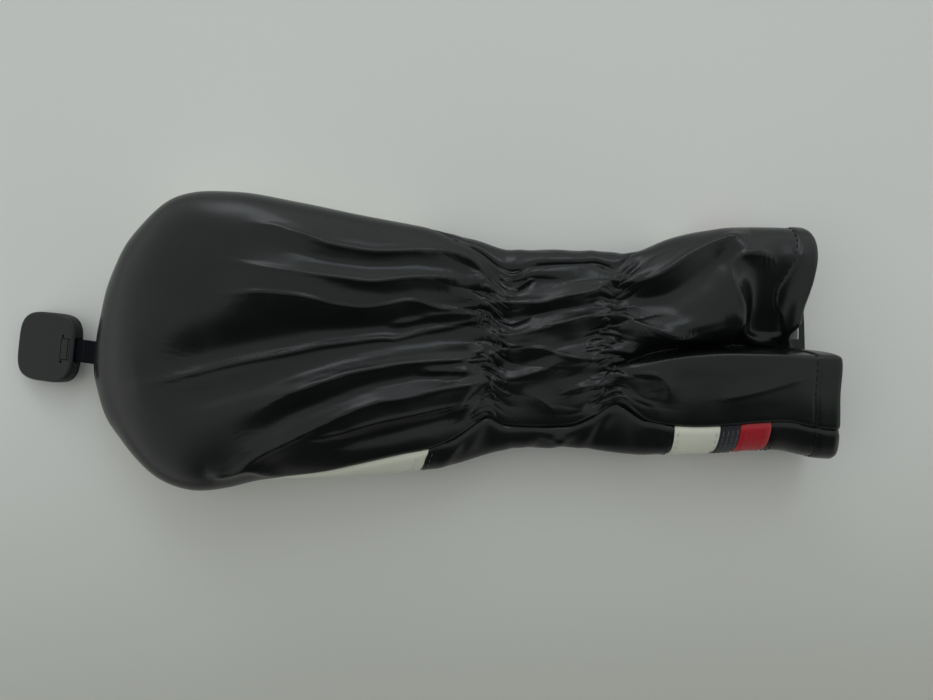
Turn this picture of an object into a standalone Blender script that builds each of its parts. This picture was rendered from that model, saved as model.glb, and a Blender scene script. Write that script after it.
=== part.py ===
"""Driver head cover lying on its front, with a number tag on a short strap.

The cover is a gathered sock: a back panel, a front made of six sewn panels, foam and fleece
inside the head, a knit lining in the neck, and two elastics that draw the neck in.
Lengths are written in millimetres and turned into metres by MM.
X runs from the tag to the mouth, Z is up, and the cover rests on its front at Z = 0.
"""
from math import cos, pi, radians, sin

import bmesh
import bpy
import numpy as np

MM = 0.001

# Cover outline seen from above (x, y) and from the side (x, z).
X_TIP = -148.6
X_START = -146.9
X_END = 187.0
UPPER = [(-147, 1), (-143.5, 14), (-139.5, 27.5), (-135.5, 36), (-130, 45.5), (-122.5, 53.5),
         (-115, 60.5), (-107, 65), (-94, 67), (-80, 66.5), (-53.5, 62), (-26.5, 56.5), (4.5, 51),
         (28, 45.5), (40, 41.5), (50, 42), (83, 41), (96, 40.5), (112.5, 46.5), (126, 49.5),
         (148, 51.5), (170, 51), (187, 48.5)]
LOWER = [(-147, -20.5), (-146, -22.5), (-140.5, -36), (-133.5, -45), (-126, -53.5),
         (-116.5, -61.5), (-107, -65.5), (-98, -67), (-85, -65.5), (-69, -62), (-31, -60.5),
         (4, -58), (18, -55.5), (32, -51), (45.5, -48), (64, -48), (100, -51.5), (125, -51),
         (160, -49), (175, -52), (187, -53)]
TOP = [(-147, 18.6), (-145.7, 20.8), (-143.2, 24), (-139.5, 27.5), (-134, 31.3), (-125, 36),
       (-110, 40.7), (-94, 43.6), (-80, 44.8), (-56, 45), (-30, 42.5), (0, 37), (20, 32),
       (36, 27), (50, 30), (66, 30.5), (84, 27), (100, 31), (125, 35.5), (150, 36.5), (187, 35)]
UNDER = [(-147, 13.4), (-145.7, 11), (-143.2, 8), (-139.5, 5.4), (-134, 3), (-126, 0.8),
         (-118, 0), (187, 0)]
MIDDLE = [(-147, 16), (-130, 18), (-100, 20), (-50, 20), (5, 17), (36, 13), (65, 14), (84, 13),
          (125, 16), (187, 16)]
POWER = [(-147, 2.2), (-120, 2.7), (-60, 2.7), (30, 2.8), (130, 2.8), (187, 2.7)]
UNDER_POWER = [(-147, 2.2), (-125, 3.2), (187, 3.2)]
FLOOR_PRESS = 0.6

# How far each side seam climbs in from the outline; the elastics pull it up at both gathers.
UPPER_SEAM = [(-147, 0), (4, 0), (14, 2.6), (28, 5.5), (36, 9), (41.5, 11), (50, 8), (67, 6.5),
              (80, 5.5), (86.5, 7.5), (95, 1), (100, 0), (187, 0)]
LOWER_SEAM = [(-147, 0), (-88, 0), (-70, 0.3), (-58, 1.3), (-41, 3), (-28, 5.5), (-7, 9), (5, 10),
              (14, 12), (21, 14.5), (31, 18), (34, 15), (39, 11), (50, 9.5), (66, 10), (77, 15),
              (88.5, 22.5), (94, 19.5), (100.5, 15.5), (125, 13), (187, 13.5)]

# The cuff sags between two lobes: depth and place of the sag along x, and how far it spreads
# below and above its floor. The upper lobe has a hollow pressed in it.
VALLEY = [(-147, 0), (78, 0), (86, 2.5), (94, 6), (104, 10), (118, 15), (130, 18), (150, 20),
          (187, 21)]
VALLEY_Y = [(-147, -16), (81, -15), (90, -10.5), (102, -6), (116, -3.5), (126, -3), (144, -2.5),
            (187, -3.2)]
VALLEY_WALL = 4.0
VALLEY_SLOPE = 8.0
HOLLOW_X = 154.0
HOLLOW_HALF = 12.5
HOLLOW_EDGE_Y = 37.0
HOLLOW_RUN = 33.0
HOLLOW_DEPTH = 14.0

# Mouth edge: x at fractions of the way round each side.
BACK_EDGE = [(0, 172), (0.12, 174), (0.25, 172), (0.37, 167), (0.54, 167), (0.59, 169.5),
             (0.67, 180), (0.75, 182.5), (1, 183.5)]
FRONT_EDGE = [(0, 183.5), (0.12, 186), (0.28, 184), (0.45, 182.5), (0.7, 181.5), (0.85, 178),
              (1, 172)]
MOUTH_BLEND_X = 100.0
# Front panel joins bow towards the tip, and leave the seams at a slant set along x.
FRONT_BOW = 6.0
FRONT_SKEW = [(-130, 0), (5, 46), (98, 0), (114, 0), (134, 10), (158, 10), (187, 0)]

# Sewn layers, as distances in from the outer face.
GAP = 0.3
SKIN = (0.0, 1.0)
FOAM = (1.3, 3.3)
FLEECE = (3.6, 4.8)
ELASTIC = (1.3, 2.2)
KNIT = (2.5, 3.5)

# Front panels, tip to mouth: name, first x, last x, colour, roughness.
WHITE = (0.86, 0.86, 0.80)
BLACK = (0.012, 0.012, 0.012)
FRONT_PANELS = [
    ("front_head_panel", X_START, 5.0, WHITE, 0.35),
    ("front_neck_panel", 5.0, 112.5, BLACK, 0.35),
    ("front_white_band", 112.5, 133.0, WHITE, 0.35),
    ("front_ribbed_band", 133.0, 142.0, (0.02, 0.02, 0.022), 0.6),
    ("front_red_band", 142.0, 156.0, (0.45, 0.012, 0.02), 0.35),
    ("front_cuff_panel", 156.0, X_END, BLACK, 0.35),
]
HEAD_INNER_X = (-138.0, 3.0)
NECK_INNER_X = (9.0, 183.0)
ELASTIC_X = (("elastic_band_head", 37.0, 45.0), ("elastic_band_cuff", 84.0, 92.0))
BACK_CELLS = 28
FRONT_CELLS = 16
EDGE_CROWDING = 0.65
STATIONS = [X_START, -145, -142, -138, -132, -124, -114, -100, -84, -68, -52, -36, -20, -8, 3, 5, 9,
            16, 23, 30, 37, 41, 45, 52, 60, 68, 76, 84, 88, 92, 98, 105, 112.5, 119, 126, 133, 142,
            149, 156, 163, 170, 178, X_END]

# Folded care label inside the mouth: it lies flat, then curls up past the back's edge (x, z).
LABEL_CURL = [(150, 4.2), (156, 4.8), (161, 6.2), (165, 8.4), (168.5, 11.3), (171.2, 15),
              (173, 19)]
LABEL_Y = (2.0, 13.5)
LABEL_THICK = 0.4

# Strap and number tag, in the tag's own axes: origin on the strap pin, -X to the far end.
ROOT = (-147.6, -5.3, 16.0)
YAW = -6.0
STRAP_PITCH = -22.0
TAG_PITCH = -15.6
STRAP_LENGTH = 14.6
STRAP_WIDTH = 10.5
STRAP_HALF = 0.9
LOOP_OUTER = 2.0
LOOP_INNER = 1.15
LOOP_NECK = 3.2
LOOP_WRAP = 2.05
PIN_RADIUS = 0.85
PIN_LENGTH = 15.0
TAG_CENTRE_X = -13.1
TAG_HALF = 16.1
TAG_POWER = 3.6
DIAL_X = -14.8
DIAL_RADIUS = 10.5
GRIP_RADIUS = 4.6
PIVOT_RADIUS = 1.1


def ramp(points, x, rooted=False):
    """Smooth curve through the points that never overshoots them."""
    px, py = np.array(points, float).T
    x = np.clip(np.asarray(x, float), px[0], px[-1])
    if rooted:
        px = np.sqrt(px - X_TIP)
        x = np.sqrt(x - X_TIP)
    h = np.diff(px)
    d = np.diff(py) / h
    m = np.zeros_like(px)
    m[0] = d[0]
    m[-1] = d[-1]
    for i in range(1, len(px) - 1):
        if d[i - 1] * d[i] > 0:
            w1 = 2 * h[i] + h[i - 1]
            w2 = h[i] + 2 * h[i - 1]
            m[i] = (w1 + w2) / (w1 / d[i - 1] + w2 / d[i])
    i = np.clip(np.searchsorted(px, x) - 1, 0, len(px) - 2)
    t = (x - px[i]) / h[i]
    value = (1 + 2 * t) * (1 - t) ** 2 * py[i] + t * (1 - t) ** 2 * h[i] * m[i]
    return value + t * t * (3 - 2 * t) * py[i + 1] + t * t * (t - 1) * h[i] * m[i + 1]


def section(x, front, samples=240):
    """Points round one side of the cover at x: the back from the upper seam over the top,
    or the front from the lower seam underneath."""
    y_up = ramp(UPPER, x, True)
    y_low = ramp(LOWER, x, True)
    z_top = ramp(TOP, x, True)
    z_under = ramp(UNDER, x, True)
    z_mid = ramp(MIDDLE, x, True)
    power = ramp(POWER, x)
    under_power = ramp(UNDER_POWER, x)
    y_mid = (y_up + y_low) / 2
    half = (y_up - y_low) / 2
    start = np.arccos((1 - ramp(UPPER_SEAM, x) / half) ** (power / 2))
    end = pi - np.arccos((1 - ramp(LOWER_SEAM, x) / half) ** (power / 2))
    if front:
        start, end = end, 2 * pi + start
    angle = np.linspace(start, end, samples + 1)
    c = np.cos(angle)
    s = np.abs(np.sin(angle))
    above = np.sin(angle) >= 0
    p = np.where(above, power, under_power)
    y = y_mid + half * np.sign(c) * np.abs(c) ** (2 / p)
    off = y - ramp(VALLEY_Y, x)
    sag = ramp(VALLEY, x) * np.exp(-(off / np.where(off < 0, VALLEY_WALL, VALLEY_SLOPE)) ** 2)
    fall = np.clip((HOLLOW_EDGE_Y - y) / HOLLOW_RUN, 0, 1) * np.clip(off / 3, 0, 1)
    sag = np.maximum(sag, HOLLOW_DEPTH * fall * np.exp(-((x - HOLLOW_X) / HOLLOW_HALF) ** 4))
    over = z_mid + (z_top - z_mid) * s ** (2 / p) - sag
    press = FLOOR_PRESS * np.clip((x + 126) / 8, 0, 1)
    under = np.maximum(z_mid - (z_mid - z_under + press) * s ** (2 / p), z_under)
    return np.stack([y, np.where(above, over, under)], 1)


def point(x, t, front):
    """Surface points at station x for fractions t of the way round one side."""
    t = np.asarray(t, float)
    edge_t, edge_x = np.array(FRONT_EDGE if front else BACK_EDGE).T
    u = x + 0 * t
    if front:
        swell = np.clip((x + 70) / 60, 0, 1) * np.clip((X_END - x) / 20, 0, 1)
        skew = np.interp(x, *np.array(FRONT_SKEW, float).T)
        u = u - FRONT_BOW * swell * np.sin(pi * t) ** 2.5 - skew * np.sin(pi * t) / pi
    reach = np.maximum(0.0, (u - MOUTH_BLEND_X) / (X_END - MOUTH_BLEND_X))
    along = u + reach * (np.interp(t, edge_t, edge_x) - X_END)
    found = []
    for here, part in zip(along, t):
        line = section(here, front)
        step = np.concatenate([[0], np.cumsum(np.hypot(*np.diff(line, axis=0).T))])
        at = part * step[-1]
        found.append((here, np.interp(at, step, line[:, 0]), np.interp(at, step, line[:, 1])))
    return np.array(found)


def girth(x, front):
    """Length round one side at station x."""
    return np.hypot(*np.diff(section(x, front), axis=0).T).sum()


def layer(stations, front, depth, cells, inset):
    """Grid of points at one depth in from the outer face."""
    rows = []
    even = np.linspace(0, 1, cells + 1)
    crowded = (1 - EDGE_CROWDING) * even + EDGE_CROWDING * (0.5 - 0.5 * np.cos(pi * even))
    for x in stations:
        trim = inset / girth(x, front)
        t = np.clip(crowded, trim, 1 - trim)
        here = point(x, t, front)
        along = point(x + 0.4, t, front) - point(x - 0.4, t, front)
        across = point(x, np.minimum(t + 0.006, 1), front) - point(x, np.maximum(t - 0.006, 0), front)
        normal = np.cross(across, along)
        normal /= np.linalg.norm(normal, axis=1)[:, None]
        rows.append(here - normal * depth)
    return np.array(rows)


def stations(first, last):
    """Shared x stations between two ends, so every layer is faceted alike."""
    return [first] + [x for x in STATIONS if first + 0.8 < x < last - 0.8] + [last]


def material(name, colour, roughness, metallic=0.0):
    """Plain Principled material."""
    mat = bpy.data.materials.new(name + "_material")
    mat.use_nodes = True
    shader = mat.node_tree.nodes["Principled BSDF"]
    shader.inputs["Base Color"].default_value = (*colour, 1)
    shader.inputs["Roughness"].default_value = roughness
    shader.inputs["Metallic"].default_value = metallic
    mat.diffuse_color = (*colour, 1)
    return mat


def solid(name, points, faces, mat, parent=None, sharp=35):
    """Mesh object from millimetre points, facing out, smooth except at sharp edges."""
    mesh = bpy.data.meshes.new(name)
    mesh.from_pydata([tuple(MM * c for c in p) for p in points], [], faces)
    bm = bmesh.new()
    bm.from_mesh(mesh)
    bmesh.ops.recalc_face_normals(bm, faces=bm.faces)
    bmesh.ops.triangulate(bm, faces=[f for f in bm.faces if len(f.verts) == 4])
    bm.to_mesh(mesh)
    bm.free()
    mesh.shade_smooth()
    mesh.set_sharp_from_angle(angle=radians(sharp))
    mesh.materials.append(mat)
    item = bpy.data.objects.new(name, mesh)
    item.parent = parent
    bpy.context.collection.objects.link(item)
    return item


def sheet(name, first, last, front, depths, mat, inset=GAP / 2):
    """One sewn panel: a closed sheet between two depths."""
    rows = stations(first, last)
    cells = FRONT_CELLS if front else BACK_CELLS
    outer = layer(rows, front, depths[0], cells, inset)
    inner = layer(rows, front, depths[1], cells, inset)
    count = len(rows)
    wide = cells + 1
    points = np.concatenate([outer.reshape(-1, 3), inner.reshape(-1, 3)])
    back = count * wide
    faces = []
    for i in range(count - 1):
        for j in range(cells):
            a = i * wide + j
            faces.append((a, a + 1, a + wide + 1, a + wide))
            faces.append((back + a, back + a + wide, back + a + wide + 1, back + a + 1))
    for i in range(count - 1):
        for j in (0, cells):
            a = i * wide + j
            faces.append((a, a + wide, back + a + wide, back + a))
    for j in range(cells):
        for i in (0, count - 1):
            a = i * wide + j
            faces.append((a, back + a, back + a + 1, a + 1))
    return solid(name, points, faces, mat)


def stack(name, loops, mat, parent=None, sharp=35):
    """Closed solid through equal-sized loops, capped flat at both ends."""
    count = len(loops[0])
    points = [p for loop in loops for p in loop]
    faces = [tuple(range(count)), tuple(range(count * (len(loops) - 1), count * len(loops)))]
    for i in range(len(loops) - 1):
        for j in range(count):
            k = (j + 1) % count
            faces.append((i * count + j, i * count + k, (i + 1) * count + k, (i + 1) * count + j))
    return solid(name, points, faces, mat, parent, sharp)


def disc(x, y, radius, z, count=32):
    """Circle of points round (x, y) at height z."""
    turn = [2 * pi * i / count for i in range(count)]
    return [(x + radius * cos(a), y + radius * sin(a), z) for a in turn]


def fluted(radius, z, flutes=10, count=60):
    """Circle with shallow finger flutes at height z."""
    loop = []
    for i in range(count):
        a = 2 * pi * i / count
        r = radius - 0.25 * (1 - cos(flutes * a))
        loop.append((r * cos(a), r * sin(a), z))
    return loop


def squircle(scale, z, count=72):
    """Outline of the tag at height z."""
    loop = []
    for i in range(count):
        a = 2 * pi * i / count
        x = abs(cos(a)) ** (2 / TAG_POWER) * (1 if cos(a) >= 0 else -1)
        y = abs(sin(a)) ** (2 / TAG_POWER) * (1 if sin(a) >= 0 else -1)
        loop.append((TAG_CENTRE_X + TAG_HALF * scale * x, TAG_HALF * scale * y, z))
    return loop


def block(x0, x1, y0, y1, z0, z1):
    """Loops of a box for stack()."""
    return [[(x0, y0, z), (x1, y0, z), (x1, y1, z), (x0, y1, z)] for z in (z0, z1)]


def rod(x, z, radius, half, count=20):
    """Loops of a round bar along Y for stack()."""
    turn = [2 * pi * i / count for i in range(count)]
    return [[(x + radius * cos(a), y, z + radius * sin(a)) for a in turn] for y in (-half, half)]


def cut(target, loops):
    """Remove the solid through the loops from target."""
    tool = stack(target.name + "_cutter", loops, target.data.materials[0])
    tool.parent = target.parent
    tool.hide_render = True
    tool.display_type = "WIRE"
    change = target.modifiers.new("Cut", "BOOLEAN")
    change.operation = "DIFFERENCE"
    change.solver = "EXACT"
    change.object = tool
    bpy.context.view_layer.update()
    graph = bpy.context.evaluated_depsgraph_get()
    made = bpy.data.meshes.new_from_object(target.evaluated_get(graph))
    target.modifiers.clear()
    target.data = made
    made.shade_smooth()
    made.set_sharp_from_angle(angle=radians(30))
    bpy.data.objects.remove(tool, do_unlink=True)


def empty(name, place, pitch, parent=None):
    """Empty on a joint axis; its Y axis is the hinge."""
    item = bpy.data.objects.new(name, None)
    item.location = tuple(MM * c for c in place)
    item.rotation_euler = (0, radians(pitch), 0 if parent else radians(YAW))
    item.parent = parent
    bpy.context.collection.objects.link(item)
    return item


def build_cover():
    """All sewn pieces of the sock."""
    leather = material("back_panel", BLACK, 0.3)
    sheet("back_panel", X_START, X_END, False, SKIN, leather)
    for name, first, last, colour, roughness in FRONT_PANELS:
        a = first + (GAP / 2 if first > X_START else 0)
        b = last - (GAP / 2 if last < X_END else 0)
        sheet(name, a, b, True, SKIN, material(name, colour, roughness))
    foam = (0.62, 0.60, 0.52)
    fleece = (0.05, 0.05, 0.052)
    knit = (0.03, 0.03, 0.032)
    for side, front in (("back", False), ("front", True)):
        name = "foam_pad_" + side
        sheet(name, *HEAD_INNER_X, front, FOAM, material(name, foam, 0.95), 1.6)
        name = "head_lining_" + side
        sheet(name, *HEAD_INNER_X, front, FLEECE, material(name, fleece, 0.95), 2.4)
        name = "neck_lining_" + side
        sheet(name, *NECK_INNER_X, front, KNIT, material(name, knit, 0.9), 1.8)
    for name, first, last in ELASTIC_X:
        sheet(name, first, last, False, ELASTIC, material(name, (0.7, 0.7, 0.68), 0.9), 1.8)
    label = material("care_label", (0.9, 0.9, 0.88), 0.8)
    path = np.array(LABEL_CURL, float)
    way = np.gradient(path, axis=0)
    up = np.stack([-way[:, 1], way[:, 0]], 1) / np.linalg.norm(way, axis=1)[:, None]
    low, high = LABEL_Y
    loops = [[(p[0], low, p[1]), (p[0], high, p[1]), (q[0], high, q[1]), (q[0], low, q[1])]
             for p, q in zip(path, path + LABEL_THICK * up)]
    stack("care_label", loops, label)


def build_strap(root):
    """Webbing strap with a sewn loop round the tag's pin."""
    webbing = material("tag_strap", (0.008, 0.009, 0.013), 0.8)
    far = -STRAP_LENGTH
    half = STRAP_WIDTH / 2
    outline = [(STRAP_HALF * cos(a), STRAP_HALF * sin(a)) for a in np.linspace(-pi / 2, pi / 2, 7)]
    outline.append((far + LOOP_NECK, STRAP_HALF))
    for a in np.linspace(pi - LOOP_WRAP, pi + LOOP_WRAP, 17):
        outline.append((far + LOOP_OUTER * cos(a), LOOP_OUTER * sin(a)))
    outline.append((far + LOOP_NECK, -STRAP_HALF))
    loops = [[(x, y, z) for x, z in outline] for y in (-half, half)]
    strap = stack("tag_strap", loops, webbing, root)
    cut(strap, rod(far, 0, LOOP_INNER, half + 1))


def build_tag(tag):
    """Moulded tag: back housing, front bezel, strap pin and clip, dial and its pivot."""
    plastic = material("tag_housing", (0.03, 0.03, 0.032), 0.4)
    sizes = ((-1.4, 1.0), (1.2, 1.0), (1.9, 0.992), (2.45, 0.975), (2.8, 0.95), (3.0, 0.91))
    housing = stack("tag_housing", [squircle(s, z) for z, s in sizes], plastic, tag)
    slot = STRAP_WIDTH / 2 + 0.4
    cut(housing, [disc(DIAL_X, 0, DIAL_RADIUS + 0.4, z, 48) for z in (-2, 0.2)])
    cut(housing, [disc(DIAL_X, 0, PIVOT_RADIUS + 0.3, z, 20) for z in (-1, 1.8)])
    cut(housing, block(0, 5, -slot, slot, -2.2, 2.2))
    cut(housing, rod(0, 0, LOOP_OUTER + 0.35, slot))
    cut(housing, rod(0, 0, PIN_RADIUS + 0.25, PIN_LENGTH / 2 + 0.3))
    cut(housing, block(-4.3, 0.9, -4.95, 4.95, 1.2, 4))
    for y in (-5.9, 5.9):
        cut(housing, [disc(-3.4, y, 0.65, z, 16) for z in (1.6, 4)])
    sizes = ((-3.0, 0.93), (-2.75, 0.97), (-2.3, 1.0), (-1.7, 1.0))
    cover = material("tag_bezel", (0.02, 0.02, 0.022), 0.35)
    bezel = stack("tag_bezel", [squircle(s, z) for z, s in sizes], cover, tag)
    cut(bezel, [disc(DIAL_X, 0, GRIP_RADIUS + 0.4, z) for z in (-4, -1)])
    cut(bezel, block(DIAL_X - 9.8, DIAL_X - 6.0, -2.4, 2.4, -4, -1))
    cut(bezel, block(0, 5, -slot, slot, -2.2, 0))
    cut(bezel, rod(0, 0, LOOP_OUTER + 0.35, slot))
    steel = material("strap_pin", (0.6, 0.6, 0.62), 0.3, 1.0)
    stack("strap_pin", rod(0, 0, PIN_RADIUS, PIN_LENGTH / 2), steel, tag)
    flap = material("strap_clip", (0.03, 0.03, 0.032), 0.45)
    steps = [(-4.0, 2.25), (-4.0, 2.95), (-3.0, 2.95), (-3.0, 3.15), (-0.4, 3.15), (-0.4, 2.95),
             (0.6, 2.95), (0.6, 2.4), (-0.3, 2.4), (-1.2, 2.25)]
    stack("strap_clip", [[(x, y, z) for x, z in steps] for y in (-4.65, 4.65)], flap, tag)
    pivot = material("dial_pivot", (0.6, 0.6, 0.62), 0.3, 1.0)
    shank = [disc(DIAL_X, 0, r, z, 20) for r, z in
             ((1.9, -2.8), (1.9, -2.4), (PIVOT_RADIUS, -2.4), (PIVOT_RADIUS, 1.4))]
    stack("dial_pivot", shank, pivot, tag)


def build_dial(axle):
    """Turning number dial: a thin disc with a raised grip, centred on its axle."""
    plate = material("number_dial", (0.75, 0.75, 0.72), 0.45)
    loops = [disc(0, 0, DIAL_RADIUS, z, 60) for z in (-0.1, -1.4)]
    loops += [fluted(GRIP_RADIUS, z) for z in (-1.4, -2.6)]
    loops += [fluted(GRIP_RADIUS - 0.3, -2.85)]
    dial = stack("number_dial", loops, plate, axle)
    cut(dial, [disc(0, 0, PIVOT_RADIUS + 0.3, z, 20) for z in (-4, 1)])
    cut(dial, [disc(0, 0, 2.2, z, 20) for z in (-4, -2.1)])


def main():
    """Clear the file and build every piece."""
    for item in list(bpy.data.objects):
        bpy.data.objects.remove(item, do_unlink=True)
    build_cover()
    root = empty("strap_root", ROOT, STRAP_PITCH)
    build_strap(root)
    tag = empty("tag_pin_axis", (-STRAP_LENGTH, 0, 0), TAG_PITCH - STRAP_PITCH, root)
    build_tag(tag)
    axle = empty("dial_axis", (DIAL_X, 0, 0), 0, tag)
    build_dial(axle)


main()
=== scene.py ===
"""Looks of the driver head cover: gathered leather, linings, stitching and the number tag.

The leather is built from the same section curves as the CAD, on a fine grid, with folds, pleats
and seams added along its normals. Lengths are in millimetres and turned into metres by MM.
"""
from math import cos, pi, radians, sin

import bmesh
import bpy
import numpy as np
from mathutils import Matrix, Vector


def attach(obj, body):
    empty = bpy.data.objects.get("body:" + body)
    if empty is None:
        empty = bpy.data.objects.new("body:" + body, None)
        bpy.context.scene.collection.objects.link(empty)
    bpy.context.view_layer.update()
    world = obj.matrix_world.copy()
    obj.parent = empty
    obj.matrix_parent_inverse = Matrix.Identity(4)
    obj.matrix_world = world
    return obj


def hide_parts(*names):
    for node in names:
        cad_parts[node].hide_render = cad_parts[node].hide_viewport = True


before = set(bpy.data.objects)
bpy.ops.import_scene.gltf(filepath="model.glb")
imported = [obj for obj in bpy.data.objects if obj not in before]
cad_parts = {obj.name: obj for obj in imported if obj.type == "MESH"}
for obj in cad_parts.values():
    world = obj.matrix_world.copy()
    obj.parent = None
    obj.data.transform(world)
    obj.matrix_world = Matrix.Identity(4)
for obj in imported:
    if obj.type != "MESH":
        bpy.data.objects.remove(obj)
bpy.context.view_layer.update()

MM = 0.001
EPS = 1e-6

# ---------------------------------------------------------------- outline of the cover

X_TIP = -148.6
X_START = -148.5
X_END = 187.0
UPPER = [(-148.6, -8), (-147, 1), (-143.5, 14), (-139.5, 27.5), (-135.5, 36), (-130, 45.5),
         (-122.5, 53.5), (-115, 60.5), (-107, 65), (-94, 67), (-80, 66.5), (-53.5, 62), (-26.5, 56.5),
         (4.5, 51), (28, 45.5), (40, 41.5), (50, 42), (83, 41), (96, 40.5), (112.5, 46.5),
         (126, 49.5), (148, 51.5), (170, 51), (187, 48.5)]
LOWER = [(-148.6, -12), (-147, -20.5), (-146, -22.5), (-140.5, -36), (-133.5, -45), (-126, -53.5),
         (-116.5, -61.5), (-107, -65.5), (-98, -67), (-85, -65.5), (-69, -62), (-31, -60.5),
         (4, -58), (18, -55.5), (32, -51), (45.5, -48), (64, -48), (100, -51.5), (125, -51),
         (160, -49), (175, -52), (187, -53)]
TOP = [(-148.6, 16.1), (-147, 18.6), (-145.7, 20.8), (-143.2, 24), (-139.5, 27.5), (-134, 31.3),
       (-125, 36), (-110, 40.7), (-94, 43.6), (-80, 44.8), (-56, 45), (-30, 42.5), (0, 37),
       (20, 32), (36, 27), (50, 30), (66, 30.5), (84, 27), (100, 31), (125, 35.5), (150, 36.5),
       (187, 35)]
UNDER = [(-148.6, 15.9), (-147, 13.4), (-145.7, 11), (-143.2, 8), (-139.5, 5.4), (-134, 3),
         (-126, 0.8), (-118, 0), (187, 0)]
MIDDLE = [(-148.6, 16), (-130, 18), (-100, 20), (-50, 20), (5, 17), (36, 13), (65, 14), (84, 13),
          (125, 16), (187, 16)]
POWER = [(-147, 2.2), (-120, 2.7), (-60, 2.7), (30, 2.8), (90, 2.8), (130, 2.8), (187, 2.7)]
UNDER_POWER = [(-147, 2.2), (-125, 3.2), (187, 3.2)]
FLOOR_PRESS = 0.6
UPPER_SEAM = [(-147, 0), (4, 0), (14, 2.6), (28, 5.5), (36, 9), (41.5, 11), (50, 8), (67, 6.5),
              (80, 5.5), (86.5, 7.5), (95, 1), (100, 0), (187, 0)]
LOWER_SEAM = [(-147, 0), (-88, 0), (-70, 0.3), (-58, 1.3), (-41, 3), (-28, 5.5), (-7, 9), (5, 10),
              (14, 12), (21, 14.5), (31, 18), (34, 15), (39, 11), (50, 9.5), (66, 10), (77, 15),
              (88.5, 22.5), (94, 19.5), (100.5, 15.5), (125, 13), (187, 13.5)]

# The cuff's sag between its lobes: depth and place of its floor along x.
VALLEY = [(-147, 0), (78, 0), (86, 2.5), (94, 6), (104, 10), (118, 15), (130, 18), (150, 20),
          (187, 21)]
VALLEY_Y = [(78, -16), (81, -15), (90, -10.5), (102, -6), (116, -3.5), (126, -3), (144, -2.5),
            (187, -3.2)]
VALLEY_WALL = 2.1
VALLEY_SLOPE = [(80, 5), (125, 5.5), (142, 8), (187, 9)]
LOBE_LEAN = [(84, 0), (110, 0.2), (130, 1.6), (145, 1.2), (160, 0.2), (187, -0.8)]
# Hollow pressed in the upper lobe: x, half length, upper edge y, run down to the floor, depth.
HOLLOW = (154, 12.5, 37, 33, 17)

BACK_EDGE = [(0, 172), (0.06, 173), (0.12, 174.5), (0.2, 173.5), (0.3, 170), (0.37, 167),
             (0.45, 166.5), (0.54, 167), (0.59, 169.5), (0.67, 180), (0.72, 182.5), (0.78, 183),
             (0.88, 182), (1, 183.5)]
FRONT_EDGE = [(0, 183.5), (0.12, 186), (0.28, 184), (0.45, 182.5), (0.7, 181.5), (0.85, 178),
              (1, 172)]
MOUTH_BLEND_X = 100.0
# The front joins' bow: its depth, where it begins along x, and the runs over which it comes and goes.
FRONT_BOW = 6.0
BOW_START = -70
BOW_RUN = 60
BOW_END_RUN = 20
FRONT_SKEW = [(-130, 0), (5, 46), (98, 0), (114, 0), (134, 10), (158, 10), (187, 0)]
TABLE_STEP = 0.5
# Curves stay exact up to TIP_END and are soft after a further TIP_BLEND.
TIP_END = -138
TIP_BLEND = 14
# The upper lobe leans out round a line this far below the sag's floor.
LEAN_BELOW = 8
LEAN_SPREAD = 6.5


def ramp(points, x, rooted=False):
    """Smooth curve through the points that never overshoots them."""
    px, py = np.array(points, float).T
    x = np.clip(np.asarray(x, float), px[0], px[-1])
    if rooted:
        px = np.sqrt(px - X_TIP)
        x = np.sqrt(x - X_TIP)
    h = np.diff(px)
    d = np.diff(py) / h
    m = np.zeros_like(px)
    m[0] = d[0]
    m[-1] = d[-1]
    for i in range(1, len(px) - 1):
        if d[i - 1] * d[i] > 0:
            w1 = 2 * h[i] + h[i - 1]
            w2 = h[i] + 2 * h[i - 1]
            m[i] = (w1 + w2) / (w1 / d[i - 1] + w2 / d[i])
    i = np.clip(np.searchsorted(px, x) - 1, 0, len(px) - 2)
    t = (x - px[i]) / h[i]
    value = (1 + 2 * t) * (1 - t) ** 2 * py[i] + t * (1 - t) ** 2 * h[i] * m[i]
    return value + t * t * (3 - 2 * t) * py[i + 1] + t * t * (t - 1) * h[i] * m[i + 1]


def blur(values, sigma, axis=0):
    """Gaussian blur along one axis, in samples, with the ends held."""
    reach = int(3 * sigma) + 1
    weight = np.exp(-0.5 * (np.arange(-reach, reach + 1) / sigma) ** 2)
    weight /= weight.sum()
    pad = [(0, 0)] * values.ndim
    pad[axis] = (reach, reach)
    wide = np.pad(values, pad, mode="edge")
    out = np.zeros_like(values)
    for k, w in enumerate(weight):
        out += w * np.take(wide, range(k, k + values.shape[axis]), axis=axis)
    return out


def distance(points):
    """Distance along a line from its first point, or along each column of a grid."""
    steps = np.linalg.norm(np.diff(points, axis=0), axis=-1)
    return np.concatenate([np.zeros((1,) + steps.shape[1:]), np.cumsum(steps, axis=0)])


def points_at(line, step, at):
    """Points of a line at given distances along it."""
    return np.stack([np.interp(at, step, column) for column in line.T], -1)


def table(points, sigma, rooted=False):
    """Curve as a function of x, softened over sigma millimetres away from the tip."""
    grid = np.arange(X_TIP, X_END + 8, TABLE_STEP)
    raw = ramp(points, grid, rooted)

    def away(x):
        """0 at the tip and 1 where the curve is wholly soft."""
        return np.clip((np.asarray(x, float) - TIP_END) / TIP_BLEND, 0, 1)

    value = raw + (blur(raw, sigma / TABLE_STEP) - raw) * away(grid)

    def read(x):
        exact = ramp(points, x, rooted)
        return exact + (np.interp(x, grid, value) - exact) * away(x)
    return read


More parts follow.
